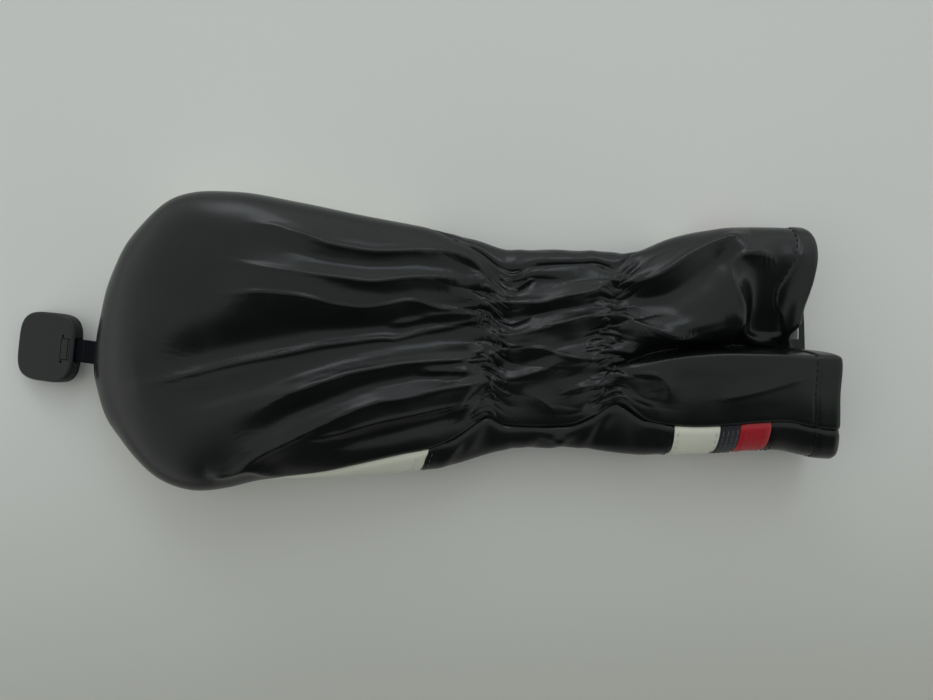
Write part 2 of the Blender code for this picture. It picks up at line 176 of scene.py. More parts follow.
CURVES = {
    "upper": table(UPPER, 3, True), "lower": table(LOWER, 3, True), "top": table(TOP, 4, True),
    "under": table(UNDER, 3, True), "middle": table(MIDDLE, 6, True), "power": table(POWER, 6),
    "under_power": table(UNDER_POWER, 6), "upper_seam": table(UPPER_SEAM, 1.6),
    "lower_seam": table(LOWER_SEAM, 1.6), "valley": table(VALLEY, 5), "valley_y": table(VALLEY_Y, 5),
    "lean": table(LOBE_LEAN, 5), "slope": table(VALLEY_SLOPE, 5),
}


def section(x, front, samples=420):
    """Points (y, z) round one side of the cover at x."""
    at = {k: float(f(x)) for k, f in CURVES.items()}
    y_mid = (at["upper"] + at["lower"]) / 2
    half = (at["upper"] - at["lower"]) / 2
    start = np.arccos(np.clip(1 - at["upper_seam"] / half, -1, 1) ** (at["power"] / 2))
    end = pi - np.arccos(np.clip(1 - at["lower_seam"] / half, -1, 1) ** (at["power"] / 2))
    if front:
        start, end = end, 2 * pi + start
    angle = np.linspace(start, end, samples + 1)
    c = np.cos(angle)
    s = np.abs(np.sin(angle))
    above = np.sin(angle) >= 0
    p = np.where(above, at["power"], at["under_power"])
    y = y_mid + half * np.sign(c) * np.abs(c) ** (2 / p)
    off = y - at["valley_y"]
    width = np.where(off < 0, VALLEY_WALL, at["slope"])
    sag = at["valley"] * np.exp(-(off / width) ** 2)
    hx, rx, edge, run, depth = HOLLOW
    fall = np.clip((edge - y) / run, 0, 1) * np.clip(off / 3, 0, 1)
    sag = np.maximum(sag, depth * fall * np.exp(-((x - hx) / rx) ** 4))
    over = at["middle"] + (at["top"] - at["middle"]) * s ** (2 / p) - sag
    press = FLOOR_PRESS * np.clip((x + 126) / 8, 0, 1)
    under = at["middle"] - (at["middle"] - at["under"] + press) * s ** (2 / p)
    z = np.where(above, over, np.maximum(under, at["under"]))
    crest = np.exp(-((off + LEAN_BELOW) / LEAN_SPREAD) ** 2)
    y = y + np.where(above, at["lean"] * crest, 0)
    return np.stack([y, z], 1)


def section_table(ts, front):
    """Stations along x, and the points (y, z) of every station at the fractions ts."""
    xs = np.concatenate([np.linspace(X_START, -141, 60), np.linspace(-140, X_END, 400)])
    rows = []
    for x in xs:
        line = section(x, front)
        step = distance(line)
        rows.append(points_at(line, step, ts * step[-1]))
    return xs, np.array(rows)


def grid(us, ts, front):
    """Base surface points for stations us and fractions ts of the way round one side."""
    edge_t, edge_x = np.array(FRONT_EDGE if front else BACK_EDGE).T
    fine = np.linspace(0, 1, 101)
    edge = np.interp(ts, fine, blur(np.interp(fine, edge_t, edge_x), 2.5))
    u = np.repeat(np.asarray(us, float)[:, None], len(ts), axis=1)
    if front:
        swell = np.clip((u - BOW_START) / BOW_RUN, 0, 1) * np.clip((X_END - u) / BOW_END_RUN, 0, 1)
        skew = np.interp(u, *np.array(FRONT_SKEW, float).T)
        u = u - FRONT_BOW * swell * np.sin(pi * ts) ** 2.5 - skew * np.sin(pi * ts) / pi
    reach = np.maximum(0.0, (u - MOUTH_BLEND_X) / (X_END - MOUTH_BLEND_X))
    along = u + reach * (edge - X_END)
    xs, rows = section_table(ts, front)
    row = np.interp(along, xs, np.arange(len(xs)))
    low = np.clip(np.floor(row).astype(int), 0, len(xs) - 2)
    part = (row - low)[..., None]
    column = np.arange(len(ts))[None, :]
    yz = rows[low, column] * (1 - part) + rows[low + 1, column] * part
    return np.concatenate([along[..., None], yz], axis=2)


def normals(p):
    """Outward unit normals of a grid of points."""
    along = np.gradient(p, axis=0)
    across = np.gradient(p, axis=1)
    n = np.cross(across, along)
    return n / np.maximum(np.linalg.norm(n, axis=2, keepdims=True), 1e-9)


def arc(p):
    """Distance across each row from its first point, and each row's whole width."""
    w = distance(np.swapaxes(p, 0, 1)).T
    return w, w[:, -1:]


# ---------------------------------------------------------------- folds and pleats

# Ridges on the back as seen from above: points (x, y), height, spread to the left and to the
# right of the walking direction, and for the head's folds the run over which the first end rises.
# The steeper side is the smaller spread.
RIDGES = [
    ([(-76, 51), (-62, 49), (-52, 45.5), (-36, 40), (-18, 37.5), (-1, 38.5), (14, 38.5), (24, 35),
      (28, 30.5)], 2.6, 6, 5, 34),
    ([(-88, 35), (-59, 29.5), (-41, 27.5), (-30, 26), (-18, 24.5), (-6, 27), (10, 27.5), (24, 26)],
     2.0, 6, 5, 30),
    ([(-90, 19), (-64, 20), (-49, 18.5), (-35, 15), (-24, 13.5), (-12, 15), (-4, 17.5), (3, 16.5),
      (9, 14), (15, 14), (26, 15)], 3.6, 9, 6, 24),
    ([(-132, -21), (-112, -18), (-94, -13.5), (-75, -9), (-56, -5.5), (-40, -2), (-24, 0), (-12, 1.5),
      (-9, 0), (0, 3.5), (16, 6.5), (27, 8.5)], 2.3, 3.4, 8, 40),
    ([(-70, -32), (-56, -23), (-40, -17.5), (-28, -13.5), (-17, -11.5), (-5, -9.5), (10, -8.5),
      (27, -8)], 3.3, 6, 6, 26),
    ([(-84, -60), (-67, -48), (-52, -41), (-40, -35), (-28, -29.5), (-17, -25.5), (-6, -24.5),
      (11, -20), (26, -18)], 3.0, 8, 5, 22),
    ([(-48, -43), (-40, -40.5), (-29, -38.5), (-17, -34.5), (-5, -32.5), (11, -29), (25, -27)],
     2.0, 4.5, 4, 14),
    ([(-92, -58), (-82, -57.5), (-73, -53.5), (-68, -54.5), (-66, -57.5), (-56, -58.5)], 2.0, 4, 3, 8),
    ([(-14, 7), (-4, 8), (8, 11), (18, 12), (27, 12)], 1.6, 3.5, 3, 10),
    ([(-2, -13.5), (10, -13), (26, -13)], 1.4, 3, 3, 10),
    ([(32, 17), (54, 16), (64, 19), (76, 21), (84, 26)], 3.2, 6, 4),
    ([(32, 3), (43, 3), (53, 5.5), (64, 8), (73, 11), (85, 10.5)], 3.2, 6, 4),
    ([(31, -6), (38, -3), (47, -2.5), (55, -3.5), (62, -6), (72, -8), (83, -7)], 2.8, 5, 6),
    ([(30, -17.5), (42, -16.5), (53, -13), (64, -9)], 2.4, 4, 4),
    ([(44, -21), (56, -27), (62, -34)], 2.2, 4, 3),
    ([(60, -24), (70, -20), (82, -19)], 2.3, 4, 3),
    ([(42, 30), (60, 33), (80, 33)], 1.3, 4, 5),
    ([(85, 25.5), (95, 25), (103, 27), (110, 31), (118.5, 37), (128, 42), (139.5, 45.8), (148, 46.5)],
     3.0, 5, 4.5),
    ([(84, 12), (92, 11), (99, 5.5), (111, 3.5), (123, 3)], 2.2, 5, 4),
    ([(82, -4.5), (90, -4), (98, -5.5), (104, -8)], 1.6, 3, 3),
    ([(84, -16.5), (93, -15), (101, -14), (107, -16), (110, -22), (106, -29.5)], 1.6, 4, 5),
    ([(83, -27), (91, -26.5), (96, -30.5), (99, -36)], 1.3, 3.5, 3.5),
    ([(158, 34), (149, 38), (144, 38.5), (138, 36), (135, 30.5), (136, 22.5), (139, 16.5),
      (140, 10.5), (139, 4.5), (133, 1.5), (117, 3), (103, 5), (94, 8)], 2.6, 4.5, 6),
    ([(141, 9), (144, 4), (150, 0.5), (158, -1), (168, -2)], 2.2, 3, 4),
    ([(126, -26), (137, -24), (148, -21.5), (158, -18.5), (174, -13.5)], 1.1, 5, 7),
    ([(88, -24), (96, -25), (103, -28), (107, -34)], 1.4, 4, 4),
]
# Long hollows between them.
HOLLOWS = [
    ([(-122, -13), (-98, -9), (-84, -6), (-64, -2), (-44, 2), (-25, 5), (-8, 7.5), (14, 10.5),
      (26, 11)], -6.8, 12, 15.0, 34),
    ([(-78, -44), (-62, -38), (-50, -31), (-36, -26), (-20, -20), (0, -16), (22, -14)],
     -2.8, 7, 4, 20),
    ([(-112, -28), (-90, -25), (-70, -20), (-50, -14), (-30, -8), (-10, -4), (14, -1), (26, 0)],
     -2.6, 8, 4.5, 28),
    ([(-40, -46), (-24, -42), (-8, -39), (10, -34), (24, -31)], -1.6, 5, 4, 14),
    ([(-60, 40), (-40, 34), (-20, 32), (0, 33), (16, 32), (26, 29)], -1.8, 5, 4.5, 24),
    ([(-50, 24), (-30, 21.5), (-14, 20), (2, 22), (22, 21)], -1.2, 4, 4, 20),
    ([(92, 19), (100, 18.5), (108, 19.5), (115.6, 23.5), (124, 30), (132, 37), (142, 43)], -3.6, 5, 9),
    ([(70, -27), (76, -28), (84, -33)], -1.6, 4, 4),
    ([(38, 9), (52, 10), (64, 13.5), (80, 16)], -1.8, 3.5, 3.5),
    ([(38, -9), (54, -8), (62, -3), (80, 2)], -1.6, 3.5, 3.5),
    ([(40, 24), (56, 24), (72, 27)], -1.4, 4, 4),
]
# Where the elastics pinch the leather, upper seam to lower seam: points (x, y).
PINCHES = [
    [(42, 36), (42, 30.5), (41, 24.5), (38, 20.5), (35, 15.5), (34, 11.5), (34, 8), (34, 4),
     (33, -1.5), (31, -6.5), (31, -11), (30, -14.5), (30, -18), (31, -21.5), (31, -25.5),
     (29, -29.5), (29, -33)],
    [(86, 37), (86, 33.5), (87, 30.5), (88, 27), (88, 22.5), (87, 18), (85, 14.5), (84, 10.5),
     (83, 7), (82, 3.5), (83, 0), (82, -4), (83, -7.5), (81, -11), (81, -14.5), (82, -18),
     (82, -21.5), (83, -25), (85, -29)],
]
# A narrow crest rides on every ridge: its greatest height, its share of the ridge and its spread.
CREST_HEIGHT = 0.85
CREST_SHARE = 0.35
CREST_SPREAD = 1.25
PLEAT_COUNT = 16
PINCH_DEPTH = 2.3
PINCH_SPREAD = 8.0
LEAF_COUNT = 26
SIDE_PLEAT_COUNT = 26
# The two gathers along x. A fold that ends near one is carried on through it by GATHER_CARRY.
GATHER_X = (33.0, 85.0)
GATHER_CARRY = 9.0
END_FADE = 14.0
# Folds fade over EDGE_FADE beside the seams, and on walls: they are gone where the normal's z is
# WALL_Z, and whole where it is WALL_FADE more.
EDGE_FADE = 8
WALL_Z = 0.05
WALL_FADE = 0.35


def walk(p):
    """Smooth points along a line, a millimetre apart."""
    s = distance(p)
    at = np.linspace(0, s[-1], max(4, int(s[-1])))
    return blur(points_at(p, s, at), 3.0)


def carried(points):
    """A fold's points, with any end that lies near a gather carried on through it."""
    p = np.array(points, float)
    for _ in range(2):
        p = p[::-1]
        way = p[-1] - p[-2]
        if min(abs(p[-1, 0] - g) for g in GATHER_X) < GATHER_CARRY:
            p = np.concatenate([p, [p[-1] + GATHER_CARRY * way / np.hypot(*way)]])
    return p


def ridge(x, y, points, height, left, right, ends=END_FADE):
    """Height field of one ridge or hollow over plan points x, y."""
    line = walk(carried(points))
    out = np.zeros(x.shape)
    reach = 2.6 * max(left, right)
    low = line.min(0) - reach
    high = line.max(0) + reach
    near = (x > low[0]) & (x < high[0]) & (y > low[1]) & (y < high[1])
    px = x[near]
    py = y[near]
    d2 = (px[:, None] - line[None, :, 0]) ** 2 + (py[:, None] - line[None, :, 1]) ** 2
    k = d2.argmin(1)
    way = np.gradient(line, axis=0)[k]
    side = way[:, 0] * (py - line[k, 1]) - way[:, 1] * (px - line[k, 0])
    d = np.sqrt(d2[np.arange(len(k)), k])
    spread = np.where(side > 0, left, right)
    s = k / (len(line) - 1) * len(line)
    fade = np.clip(s / ends, 0, 1) * np.clip((len(line) - s) / END_FADE, 0, 1)
    fade = fade * fade * (3 - 2 * fade)
    crest = min(CREST_HEIGHT, CREST_SHARE * max(height, 0))
    shape = (height - crest) * np.exp(-(d / spread) ** 2) + crest * np.exp(-(d / CREST_SPREAD) ** 2)
    out[near] = fade * shape
    return out


def finger(t, d, side, centre, half, tip, long, height, lean):
    """One rounded pleat that reaches out from an elastic and dies away."""
    q = side * d + tip
    gone = np.maximum(q, 0)
    taper = 0.74 + 0.26 * np.clip(gone / 6, 0, 1) + 0.02 * gone
    s = (t - centre - lean * gone) / (half * taper)
    nose = np.sqrt(np.clip(1 - (1 - np.clip(q / 3.8, 0, 1)) ** 2, 0, 1))
    return height * nose * np.clip(1 - s * s, 0, 1) ** 0.75 * np.exp(-(gone / long) ** 2)


def pleats(x, t, line_x, line_t, girth, seed):
    """Interlocking finger pleats on both sides of one elastic, and small leaves over it."""
    rng = np.random.RandomState(seed)
    order = np.argsort(line_t)
    d = x - np.interp(t, line_t[order], line_x[order])
    width = rng.uniform(0.62, 1.38, PLEAT_COUNT)
    edge = np.concatenate([[0], np.cumsum(width)]) / width.sum()
    centre = (edge[1:] + edge[:-1]) / 2
    sets = [(-1, centre, np.diff(edge) / 2), (1, edge[1:-1], np.diff(centre) / 2)]
    total = np.zeros(x.shape)
    for side, middles, halves in sets:
        for middle, half in zip(middles, halves):
            half = half * rng.uniform(1.1, 1.35)
            size = half * girth
            long = rng.uniform(8, 12) if rng.rand() < 0.5 else rng.uniform(14, 21)
            height = np.clip(size, 1.4, 3.8) * rng.uniform(0.9, 1.1)
            tip = rng.uniform(1.0, 5.5)
            lean = rng.uniform(-0.0014, 0.0014)
            total = np.maximum(total, finger(t, d, side, middle, half, tip, long, height, lean))
    for n in range(LEAF_COUNT):
        middle = (n + rng.uniform(0.2, 0.8)) / LEAF_COUNT
        along = (d - rng.uniform(-6, 6)) / rng.uniform(3.4, 6.4)
        over = (t - middle) * girth / rng.uniform(1.35, 2.1) + rng.uniform(-0.5, 0.5) * along
        leaf = rng.uniform(1.3, 2.2) * np.clip(1 - along ** 2 - over ** 2, 0, 1) ** 0.6
        total = np.maximum(total, leaf + 0.5 * total)
    return total - PINCH_DEPTH * np.exp(-(d / PINCH_SPREAD) ** 2)


def value_noise(x, y, cell, seed, size=64):
    """Smooth noise from -1 to 1 over plan points."""
    values = np.random.RandomState(seed).uniform(-1, 1, (size, size))
    ix = np.floor(x / cell).astype(int)
    iy = np.floor(y / cell).astype(int)
    fx, fy = (f * f * f * (f * (f * 6 - 15) + 10) for f in (x / cell - ix, y / cell - iy))
    low, high = (values[ix % size, k % size] * (1 - fx) + values[(ix + 1) % size, k % size] * fx
                 for k in (iy, iy + 1))
    return low * (1 - fy) + high * fy


def pinch_places(us, ts, p, line):
    """Fraction across at which each pinch point lies, read off the base grid."""
    places = []
    for x, y in line:
        row = p[np.abs(us - x).argmin()]
        places.append(ts[np.abs(row[:, 1] - y).argmin()])
    return np.array(places)


def back_relief(us, ts, p):
    """Height of folds, pleats and seams over the back's base grid."""
    x = p[..., 0]
    y = p[..., 1]
    t = np.broadcast_to(ts, x.shape)
    w, wide = arc(p)
    out = np.zeros(x.shape)
    for item in RIDGES + HOLLOWS:
        out += ridge(x, y, *item)
    for k, line in enumerate(PINCHES):
        spots = pinch_places(us, ts, p, line)
        row = np.abs(us - line[len(line) // 2][0]).argmin()
        out += pleats(x, t, np.array([q[0] for q in line], float), spots, wide[row, 0], 11 + k)
    near_neck = np.clip((x + 60) / 70, 0, 1)
    calm = 1 - 0.6 * np.clip((x - 105) / 20, 0, 1)
    soft = 0.26 * value_noise(x, 2.6 * y, 24, 3) + 0.1 * value_noise(x, 1.8 * y, 9, 4)
    out += near_neck * calm * soft
    out += (1 - near_neck) * 0.15 * value_noise(x, y, 30, 5)
    near = np.clip(np.minimum(w, wide - w) / EDGE_FADE, 0, 1)
    flat = np.clip((normals(p)[..., 2] - WALL_Z) / WALL_FADE, 0, 1)
    return out * near * (2 - near) * flat


def front_relief(p):
    """Pleats that the elastics send round the sides, fading where the cover is pressed flat."""
    x = p[..., 0]
    w, wide = arc(p)
    edge = np.minimum(w, wide - w)
    out = np.zeros(x.shape)
    for k, place in enumerate(GATHER_X):
        for n in range(SIDE_PLEAT_COUNT):
            rng = np.random.RandomState(100 * k + n)
            cx = place + rng.uniform(-26, 26)
            slant = rng.uniform(-0.5, 0.5) + (cx - place) * 0.035
            depth = rng.uniform(0.2, 0.6)
            spread = rng.uniform(3.0, 6.0)
            side = rng.rand() < 0.7
            e = w if side else wide - w
            line = x - cx - slant * e
            out += depth * np.exp(-(line / spread) ** 2 - (e / 16) ** 2) * (-1) ** n
    out += 0.25 * value_noise(x, w, 18, 9)
    lift = np.clip(p[..., 2] / 6, 0, 1)
    return out * lift * np.clip(edge / 6, 0, 1)


# ---------------------------------------------------------------- meshes

# Sheets have a fine outer face, and an inner face with one point in COARSE.
COARSE = 3
# Layers inside follow the relief's floor, blurred and never higher than this.
FLOOR_CAP = 0.6


def mesh_object(name, points, faces, mat, smooth=35):
    """Mesh object from millimetre points."""
    mesh = bpy.data.meshes.new(name)
    mesh.from_pydata((np.asarray(points) * MM).tolist(), [], faces)
    mesh.validate()
    mesh.shade_smooth()
    if smooth < 180:
        mesh.set_sharp_from_angle(angle=radians(smooth))
    mesh.materials.append(mat)
    item = bpy.data.objects.new(name, mesh)
    bpy.context.collection.objects.link(item)
    return item


def quads(rows, columns, base=0, flip=False):
    """Faces between the points of a grid, numbered row by row from base."""
    one, other = (columns, 1) if flip else (1, columns)
    return [(a, a + one, a + columns + 1, a + other) for i in range(rows - 1)
            for a in range(base + i * columns, base + (i + 1) * columns - 1)]


def tube_faces(base, rings, sides):
    """Faces of a closed tube of rings, numbered ring by ring from base."""
    faces = []
    for k in range(rings - 1):
        for m in range(sides):
            a = base + k * sides + m
            b = base + k * sides + (m + 1) % sides
            faces.append((a, b, b + sides, a + sides))
    last = base + (rings - 1) * sides
    return faces + [tuple(range(base + sides - 1, base - 1, -1)), tuple(range(last, last + sides))]


def shell(name, outer, inner, mat):
    """Closed sheet: a fine outer grid, and an inner grid that keeps one point in COARSE."""
    nu, nt = outer.shape[:2]
    inner = inner[::COARSE, ::COARSE]
    mu, mt = inner.shape[:2]
    points = np.concatenate([outer.reshape(-1, 3), inner.reshape(-1, 3)])
    base = nu * nt
    faces = quads(nu, nt) + quads(mu, mt, base, True)
    for i in range(mu - 1):
        for j, turn in ((0, 1), (mt - 1, -1)):
            far = [(i * COARSE + k) * nt + j * COARSE for k in range(COARSE + 1)]
            faces.append(tuple((far + [base + (i + 1) * mt + j, base + i * mt + j])[::turn]))
    for j in range(mt - 1):
        for i, turn in ((0, -1), (mu - 1, 1)):
            far = [i * COARSE * nt + j * COARSE + k for k in range(COARSE + 1)]
            faces.append(tuple((far + [base + i * mt + j + 1, base + i * mt + j])[::turn]))
    return mesh_object(name, points, faces, mat, 60)


def spaced(first, last, step, dense):
    """Stations from first to last about step apart, closer inside the dense spans, and a
    whole number of coarse cells."""
    x = [first]
    while x[-1] < last:
        fine = [cell for a, b, cell in dense if a <= x[-1] <= b]
        x.append(x[-1] + min([step] + fine))
    count = int(np.ceil((len(x) - 1) / COARSE)) * COARSE
    even = np.linspace(0, len(x) - 1, count + 1)
    out = np.interp(even, np.arange(len(x)), x)
    return first + (out - first) * (last - first) / (out[-1] - first)


def lowered(relief):
    """Smooth surface that stays under the relief, for the layers inside."""
    low = relief.copy()
    for _ in range(4):
        for axis in (0, 1):
            for way in (1, -1):
                low = np.minimum(low, np.roll(low, way, axis))
    return np.minimum(blur(blur(low, 3, 0), 3, 1), FLOOR_CAP)


class Side:
    """One side of the cover: its grid, its relief, and surfaces at any depth."""

    def __init__(self, front, us, cells):
        self.front = front
        self.us = us
        self.ts = np.linspace(0, 1, cells + 1)
        self.base = grid(us, self.ts, front)
        self.normal = normals(self.base)
        self.relief = front_relief(self.base) if front else back_relief(us, self.ts, self.base)
        self.sunk = lowered(self.relief)
        self.face = self.leather_face()
        self.face_normal = normals(self.face)
        slit(self.face, front)

    def leather_face(self):
        """Outer leather face: relief, hem and rolled seams, resting on the table."""
        p = self.base + self.normal * (self.relief + hem_profile(self))[..., None]
        w, wide = arc(p)
        roll = ROLL_DROP * np.exp(-(np.minimum(w, wide - w) / ROLL_REACH) ** 1.5)
        p = p - normals(p) * roll[..., None]
        p[..., 2] = np.maximum(p[..., 2], 0.0)
        return p

    def rows(self, first, last):
        """Numbers of the rows between two stations."""
        return np.where((self.us >= first - EPS) & (self.us <= last + EPS))[0]

    def inside(self, depth):
        """Surface at a depth under the leather."""
        return self.base + self.normal * (self.sunk - depth)[..., None]

    def part(self, p, first, last, trim):
        """Grid p between two stations, trimmed in from the seams by cells."""
        return p[self.rows(first, last), trim:p.shape[1] - trim]

    def at(self, p, u, t):
        """Points of grid p at stations u and fractions t."""
        fu = np.interp(u, self.us, np.arange(len(self.us)))
        ft = np.asarray(t) * (len(self.ts) - 1)
        iu = np.clip(np.floor(fu).astype(int), 0, len(self.us) - 2)
        it = np.clip(np.floor(ft).astype(int), 0, len(self.ts) - 2)
        a = (fu - iu)[:, None]
        b = (ft - it)[:, None]
        low = p[iu, it] * (1 - b) + p[iu, it + 1] * b
        high = p[iu + 1, it] * (1 - b) + p[iu + 1, it + 1] * b
        return low * (1 - a) + high * a


# ---------------------------------------------------------------- materials

def nodes_of(name):
    """New material with its node tree and shader."""
    mat = bpy.data.materials.new(name)
    mat.use_nodes = True
    tree = mat.node_tree
    return mat, tree, tree.nodes["Principled BSDF"]


def add(tree, kind, **values):
    """Node with its properties and socket defaults set."""
    node = tree.nodes.new(kind)
    for key, value in values.items():
        if hasattr(node, key) and key not in node.inputs:
            setattr(node, key, value)
        else:
            node.inputs[key].default_value = value
    return node


def in_place(tree, *textures):
    """Lay textures out in the object's own coordinates."""
    place = add(tree, "ShaderNodeTexCoord")
    for node in textures:
        tree.links.new(place.outputs["Object"], node.inputs["Vector"])


def paint(tree, shader, value, *stops):
    """Base colour that follows a value between two stops, each a place and a colour."""
    node = add(tree, "ShaderNodeValToRGB")
    for element, (place, colour) in zip(node.color_ramp.elements, stops):
        element.position = place
        element.color = (*colour, 1)
    tree.links.new(value, node.inputs["Fac"])
    tree.links.new(node.outputs["Color"], shader.inputs["Base Color"])


def gloss(tree, shader, value, low, high):
    """Roughness that follows a value from low to high."""
    node = add(tree, "ShaderNodeMapRange", **{"To Min": low, "To Max": high})
    tree.links.new(value, node.inputs["Value"])
    tree.links.new(node.outputs["Result"], shader.inputs["Roughness"])


def soft_step(tree, value, start, full):
    """0 below start and 1 above full, smooth between them."""
    node = add(tree, "ShaderNodeMapRange", interpolation_type="SMOOTHSTEP",
               **{"From Min": start, "From Max": full})
    tree.links.new(value, node.inputs["Value"])
    return node.outputs["Result"]


def maths(tree, operation, *values):
    """Result of one operation on values, each a socket or a number."""
    node = add(tree, "ShaderNodeMath", operation=operation)
    for socket, value in zip(node.inputs, values):
        if isinstance(value, float):
            socket.default_value = value
        else:
            tree.links.new(value, socket)
    return node.outputs["Value"]


def bump(tree, height, strength, distance, under=None):
    """Surface normal bent by a height, over another bent normal."""
    node = add(tree, "ShaderNodeBump", Strength=strength, Distance=distance)
    tree.links.new(height, node.inputs["Height"])
    if under is not None:
        tree.links.new(under, node.inputs["Normal"])
    return node.outputs["Normal"]


def leather(name, dark, light, rough, grain=1.0, specular=0.5):
    """PU leather: fine pebble grain, faint pores, colour drift and gloss drift."""
    mat, tree, shader = nodes_of(name)
    pebble = add(tree, "ShaderNodeTexVoronoi", feature="SMOOTH_F1", Scale=1300.0, Smoothness=0.7)
    pore = add(tree, "ShaderNodeTexNoise", Scale=2600.0, Detail=3.0)
    crease = add(tree, "ShaderNodeTexNoise", Scale=190.0, Detail=6.0, Roughness=0.62, Distortion=0.4)
    drift = add(tree, "ShaderNodeTexNoise", Scale=28.0, Detail=5.0, Roughness=0.6)
    in_place(tree, pebble, pore, crease, drift)
    paint(tree, shader, drift.outputs["Fac"], (0.3, dark), (0.72, light))
    gloss(tree, shader, drift.outputs["Fac"], rough * 0.9, rough * 1.1)
    third = bump(tree, crease.outputs["Fac"], 0.25 * grain, 0.0001)
    first = bump(tree, pebble.outputs["Distance"], 0.5 * grain, 0.00004, third)
    second = bump(tree, pore.outputs["Fac"], 0.5 * grain, 0.000012, first)
    tree.links.new(second, shader.inputs["Normal"])
    shader.inputs["Specular IOR Level"].default_value = specular
    return mat


def cloth(name, dark, light, cell, rough=0.9, sheen=0.2, depth=0.0003, specular=0.3):
    """Woven or knitted cloth: crossing waves for the yarns and a fuzzy colour."""
    mat, tree, shader = nodes_of(name)
    warp, weft = (add(tree, "ShaderNodeTexWave", wave_type="BANDS", bands_direction=way,
                      Scale=1 / cell, Distortion=1.2, Detail=1.0) for way in "XY")
    fuzz = add(tree, "ShaderNodeTexNoise", Scale=900.0, Detail=5.0)
    in_place(tree, warp, weft, fuzz)
    both = maths(tree, "MULTIPLY", warp.outputs["Fac"], weft.outputs["Fac"])
    mixed = maths(tree, "ADD", both, fuzz.outputs["Fac"])
    paint(tree, shader, mixed, (0.35, dark), (0.95, light))
    tree.links.new(bump(tree, mixed, 0.6, depth), shader.inputs["Normal"])
    shader.inputs["Roughness"].default_value = rough
    shader.inputs["Sheen Weight"].default_value = sheen
    shader.inputs["Specular IOR Level"].default_value = specular
    return mat


def plastic(name, dark, light, rough):
    """Moulded plastic with a fine spark-eroded texture and a little handling shine."""
    mat, tree, shader = nodes_of(name)
    spark = add(tree, "ShaderNodeTexNoise", Scale=3200.0, Detail=4.0, Roughness=0.7)
    drift = add(tree, "ShaderNodeTexNoise", Scale=120.0, Detail=4.0)
    in_place(tree, spark, drift)
    paint(tree, shader, drift.outputs["Fac"], (0.35, dark), (0.7, light))
    gloss(tree, shader, drift.outputs["Fac"], rough * 0.85, rough * 1.2)
    tree.links.new(bump(tree, spark.outputs["Fac"], 0.22, 0.0001), shader.inputs["Normal"])
    shader.inputs["Specular IOR Level"].default_value = 0.35
    return mat


def steel(name):
    """Brushed steel."""
    mat, tree, shader = nodes_of(name)
    brush = add(tree, "ShaderNodeTexNoise", Scale=1500.0, Detail=3.0)
    in_place(tree, brush)
    paint(tree, shader, brush.outputs["Fac"], (0.3, (0.42, 0.42, 0.44)), (0.7, (0.6, 0.6, 0.62)))
    shader.inputs["Metallic"].default_value = 1.0
    shader.inputs["Roughness"].default_value = 0.32
    return mat


BLACK = leather("black_leather", (0.0035, 0.0040, 0.0040), (0.007, 0.0076, 0.0076), 0.27, 1.0, 0.32)
WHITE = leather("white_leather", (0.58, 0.585, 0.485), (0.66, 0.665, 0.565), 0.4, 0.5, 0.4)
RED = leather("red_leather", (0.31, 0.008, 0.016), (0.41, 0.013, 0.024), 0.4, 0.5, 0.4)
RIB = cloth("ribbed_trim", (0.008, 0.008, 0.011), (0.018, 0.018, 0.024), 0.0012)
KNIT = cloth("knit", (0.010, 0.010, 0.012), (0.05, 0.05, 0.056), 0.0021, depth=0.0006)
FLEECE = cloth("fleece", (0.02, 0.02, 0.021), (0.07, 0.07, 0.072), 0.0014, sheen=0.5, depth=0.001)
FOAM = cloth("foam", (0.42, 0.40, 0.33), (0.62, 0.60, 0.52), 0.001, sheen=0.0, depth=0.0004)
ELASTIC = cloth("elastic", (0.45, 0.45, 0.43), (0.72, 0.72, 0.70), 0.0012)
LABEL = cloth("label_satin", (0.62, 0.62, 0.60), (0.82, 0.82, 0.80), 0.0007, 0.5, 0.1, 0.00008)
WEBBING = cloth("webbing", (0.001, 0.001, 0.0028), (0.004, 0.0042, 0.0075), 0.0009, 0.8, 0.0,
                specular=0.1)
THREAD = cloth("black_thread", (0.002, 0.002, 0.002), (0.008, 0.008, 0.009), 0.0006, 0.7, 0.0)
GREY_THREAD = cloth("grey_thread", (0.05, 0.05, 0.055), (0.13, 0.13, 0.14), 0.0006, 0.7, 0.0)
WHITE_THREAD = cloth("white_thread", (0.50, 0.50, 0.45), (0.70, 0.70, 0.64), 0.0006, 0.6)
RED_THREAD = cloth("red_thread", (0.26, 0.008, 0.012), (0.50, 0.03, 0.035), 0.0006, 0.6)
TAG = plastic("tag_plastic", (0.0058, 0.0057, 0.006), (0.0092, 0.009, 0.0094), 0.5)
DIAL = plastic("dial_plastic", (0.62, 0.62, 0.58), (0.72, 0.72, 0.68), 0.35)
STEEL = steel("steel")


# ---------------------------------------------------------------- the sewn cover

# Width of the turned hem at fractions of the way round each side.
BACK_HEM = [(0, 6.5), (0.12, 8.0), (0.25, 10.0), (0.33, 11.0), (0.38, 9.5), (0.44, 6.0), (0.5, 4.5),
            (0.56, 6.0), (0.62, 9.5), (0.75, 10.8), (1, 10.5)]
FRONT_HEM = [(0, 10.5), (0.5, 9.5), (1, 6.0)]
# The hem stands up by HEM_LIFT over a rise of HEM_RISE; beside it lies a groove and at the mouth
# a rounded lip, each with a depth and a spread.
HEM_LIFT = 0.55
HEM_RISE = 0.22
HEM_GROOVE = 0.45
HEM_GROOVE_SPREAD = 0.7
LIP_DROP = 0.5
LIP_SPREAD = 0.9
# Seam edges turn in, so that two panels meet in a groove; band edges turn in less.
ROLL_DROP = 1.1
ROLL_REACH = 1.1
BAND_DROP = 0.4
BAND_REACH = 0.6
# Leather thickness, and how much thicker it is at the side seams.
SKIN = 1.0
SEAM_EXTRA = 1.1
SEAM_REACH = 3.0
